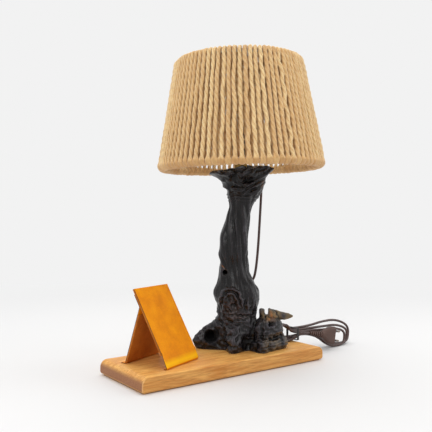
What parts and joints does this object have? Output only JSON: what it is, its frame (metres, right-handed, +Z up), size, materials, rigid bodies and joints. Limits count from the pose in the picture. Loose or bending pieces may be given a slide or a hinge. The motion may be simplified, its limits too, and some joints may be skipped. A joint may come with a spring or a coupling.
{
  "type": "table lamp",
  "caption": "Table lamp with a knotty dark wood trunk on a plank, a rope-wound tapered shade, a leather telephone stand, and a flex with switch, hank and flat plug.",
  "frame": {"origin": "centre of the board's footprint, on the table", "axes": "+Z up, +X along the board towards the lamp and its flex, +Y away from the board's front edge"},
  "size_m": [0.5374, 0.2998, 0.5442],
  "materials": {
    "board_wood": "satin varnish over oak-coloured grain",
    "felt": "felt",
    "steel": "plain zinc-plated steel",
    "trunk_wood": "dark stain with a satin sheen",
    "leather": "grained, waxed",
    "stiff_board": "pressed fibre board",
    "brass": "aged, satin",
    "holder_plastic": "moulded phenolic",
    "rubber": "soft moulded",
    "ceramic": "glazed insulating block",
    "cap_metal": "pressed",
    "solder": "solder",
    "black_glass": "black glass",
    "bulb_glass": "frosted",
    "wire_paint": "white lacquer",
    "rope": "twisted jute rope",
    "cord_brown": "flexible sheath",
    "plug_brown": "moulded",
    "switch_brown": "moulded",
    "sleeve_dark": "moulded",
    "nickel": "nickel plated brass"
  },
  "bodies": {
    "base": {"base_board": "board_wood", "felt_sheet": "felt", "trunk_screws": "steel", "trunk": "trunk_wood", "stand_panel_leather": "leather", "stand_panel_core": "stiff_board", "stand_leg_leather": "leather", "stand_leg_core": "stiff_board", "seat_collar": "brass", "seat_screws": "brass", "cord_grip": "rubber", "holder_nipple": "steel", "collar_nut": "steel", "holder_nut": "steel", "holder_cap": "holder_plastic", "holder_body": "holder_plastic", "contact_block": "ceramic", "terminal_screws": "brass", "centre_contact": "brass", "screw_shell": "brass", "cord_drop": "cord_brown", "cord_feed": "cord_brown", "cord_hank": "cord_brown", "hank_tie": "rubber", "switch_front_shell": "switch_brown", "switch_back_shell": "switch_brown", "switch_screws": "steel", "switch_contact": "brass", "plug_body": "plug_brown", "plug_pins": "nickel", "plug_pin_sleeves": "sleeve_dark"},
    "shade": {"shade_frame": "wire_paint", "rope_cover": "rope"},
    "shade_nut": {"shade_nut": "holder_plastic"},
    "bulb": {"bulb_tip": "solder", "bulb_insulator": "black_glass", "bulb_cap": "cap_metal", "bulb_glass": "bulb_glass"},
    "rocker": {"switch_rocker": "switch_brown"}
  },
  "joints": [
    {"name": "shade_turn", "type": "hinge", "parent": "base", "child": "shade", "pos_m": [0.0537, 0.0038, 0.3536], "axis": [-0.0349, 0, 0.9994], "continuous": true},
    {"name": "nut_turn", "type": "hinge", "parent": "base", "child": "shade_nut", "pos_m": [0.0537, 0.0038, 0.3536], "axis": [-0.0349, 0, 0.9994], "continuous": true},
    {"name": "bulb_out", "type": "slide", "parent": "base", "child": "bulb", "axis": [-0.0349, 0, 0.9994], "range_m": [0, 0.03]},
    {"name": "rocker_tilt", "type": "hinge", "parent": "base", "child": "rocker", "pos_m": [0.10126, 0.03443, 0.09], "axis": [0.8049, -0.5934, 0], "range_deg": [0, 14]}
  ]
}
